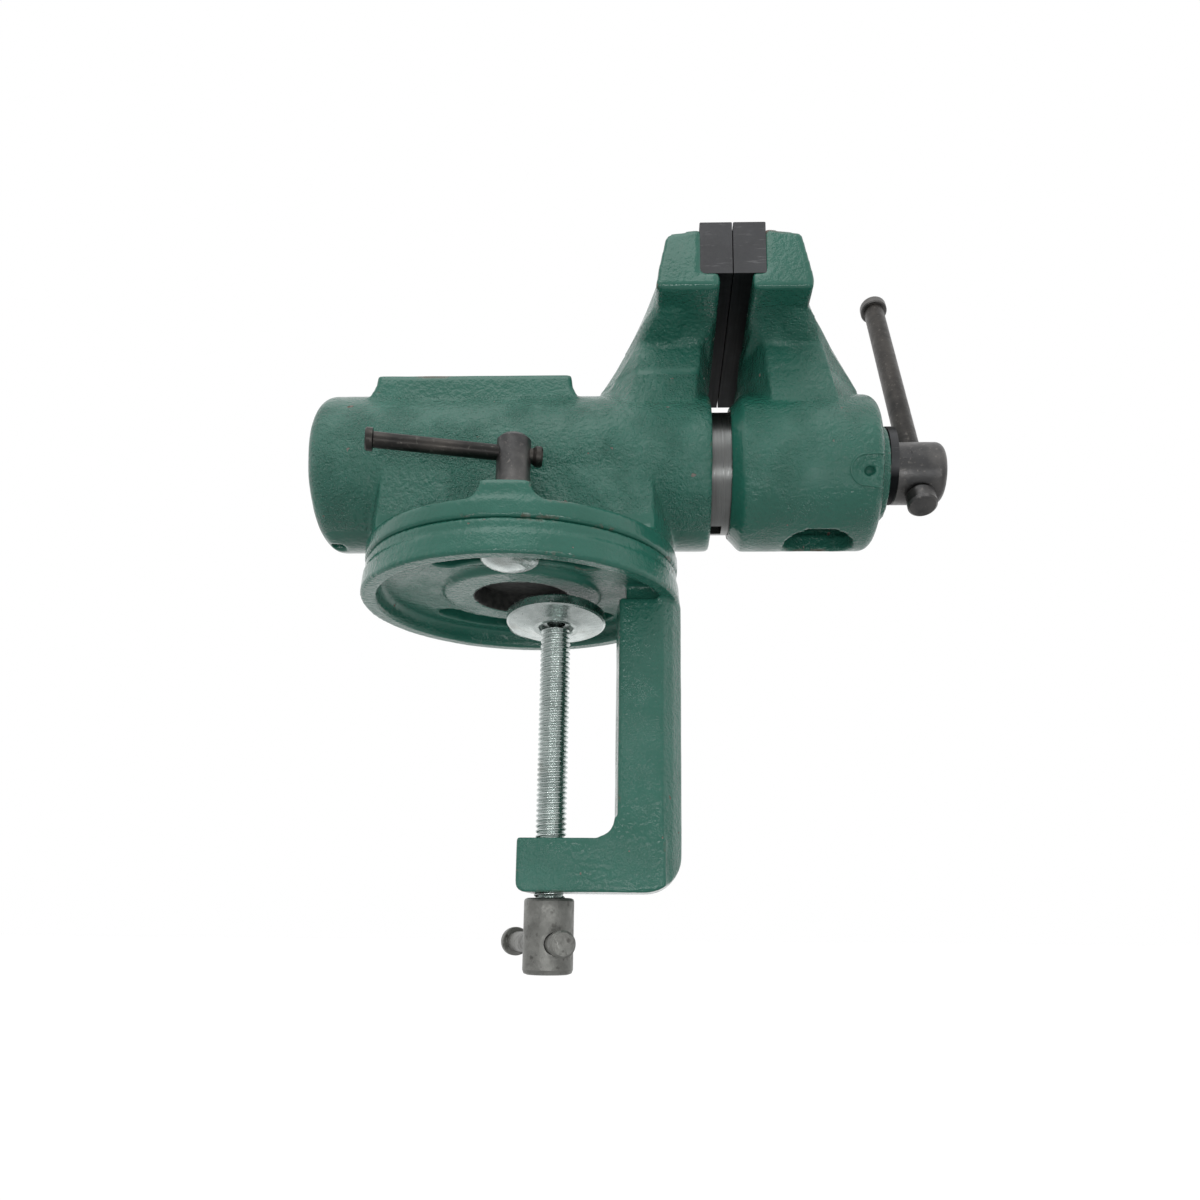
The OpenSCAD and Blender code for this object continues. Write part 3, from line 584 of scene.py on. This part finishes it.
FINISH = {"green_paint": green_paint(), "zinc_plate": zinc_plate(), "dark_steel": dark_steel(),
          "bare_steel": bare_steel(), "grey_cast": grey_cast(),
          "black_steel": blackened("black_steel", (0.026, 0.025, 0.024), (0.070, 0.064, 0.058),
                                   (0.13, 0.12, 0.11)),
          "worn_steel": blackened("worn_steel", (0.070, 0.070, 0.071), (0.155, 0.150, 0.145),
                                  (0.22, 0.205, 0.19))}
WORN = ("spindle_head", "spindle_bar_knobs", "front_lock_post", "rear_lock_post", "spindle_head_pin")

for part in frame["record"]["subparts"]:
    node = frame["nodes"][part["node"]]
    node.data.materials.clear()
    node.data.materials.append(FINISH["worn_steel" if part["node"] in WORN else part["material_slot"]])


def fit(obj, finish, body, *nodes):
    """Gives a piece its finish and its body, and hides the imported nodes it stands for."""
    obj.data.materials.clear()
    obj.data.materials.append(FINISH[finish])
    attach(obj, body)
    if nodes:
        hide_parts(*nodes)
    return obj


fit(fixed_casting(), "green_paint", "swivel_body", "fixed_body")
fit(moving_casting(), "green_paint", "jaw", "moving_jaw")
fit(recess_lip(), "green_paint", "jaw")
fit(base_casting(), "green_paint", "base", "clamp_base")
fit(threaded_rod(), "zinc_plate", "screw", "clamp_screw")


def studio():
    """A pale floor with painted shade near the vise and a painted glow far behind it, a white room a
    little dimmer on the viewer's side, a wide soft light above and a long narrow one near the viewer."""
    mesh = bpy.data.meshes.new("floor")
    half, z = 30.0, -0.62
    mesh.from_pydata([(-half, -half, z), (half, -half, z), (half, half, z), (-half, half, z)], [],
                     [(0, 1, 2, 3)])
    floor = bpy.data.objects.new("floor", mesh)
    floor.data.materials.append(floor_painted_shade_glow())
    bpy.context.scene.collection.objects.link(floor)
    world = bpy.data.worlds.new("room")
    world.use_nodes = True
    world.node_tree.nodes["Background"].inputs["Color"].default_value = (1, 1, 1, 1)
    tree = world.node_tree
    way = tree.nodes.new("ShaderNodeSeparateXYZ")
    tree.links.new(tree.nodes.new("ShaderNodeTexCoord").outputs["Generated"], way.inputs[0])
    dim = tree.nodes.new("ShaderNodeMapRange")
    for key, value in (("From Min", -0.5), ("From Max", 0.1), ("To Min", 0.84), ("To Max", 1.0)):
        dim.inputs[key].default_value = value
    tree.links.new(way.outputs[1], dim.inputs["Value"])
    tree.links.new(dim.outputs[0], tree.nodes["Background"].inputs["Strength"])
    bpy.context.scene.world = world

    def soft(name, place, aim, wide, high, power):
        light = bpy.data.lights.new(name, "AREA")
        light.shape, light.size, light.size_y, light.energy = "RECTANGLE", wide, high, power
        obj = bpy.data.objects.new(name, light)
        d = np.array(aim, float) - np.array(place, float)
        d /= np.linalg.norm(d)
        side = np.cross(d, (0, 0, 1.0))
        side = side / np.linalg.norm(side)
        up = np.cross(side, d)
        m = Matrix.Identity(4)
        for i in range(3):
            m[i][0], m[i][1], m[i][2], m[i][3] = side[i], up[i], -d[i], place[i]
        obj.matrix_world = m
        bpy.context.scene.collection.objects.link(obj)

    soft("top_light", (-0.1, -0.55, 0.80), (0.04, 0, 0.10), 0.7, 0.7, 2.5)
    soft("front_light", (0.10, -0.95, -0.31), (0.05, 0, 0.04), 1.2, 0.045, 2.6)


def camera():
    """The view: a 30 mm lens from slightly below, in front and to the right of the swivel axis. It looks
    13 degrees upwards and 1.6 degrees to the left, and is rolled by half a degree."""
    cam = bpy.data.cameras.new("camera")
    cam.sensor_width, cam.lens = 36.0, 30.0
    cam.shift_x, cam.shift_y = -0.02156, 0.07738
    cam.clip_start, cam.clip_end = 0.01, 200
    obj = bpy.data.objects.new("camera", cam)
    obj.location = (0.0540429, -0.3869268, -0.1244847)
    obj.rotation_euler = [math.radians(a) for a in (103.020697, -0.463994, 1.608060)]
    bpy.context.scene.collection.objects.link(obj)
    bpy.context.scene.camera = obj


studio()
camera()
scene = bpy.context.scene
scene.view_settings.view_transform = "Standard"
scene.view_settings.look = "None"
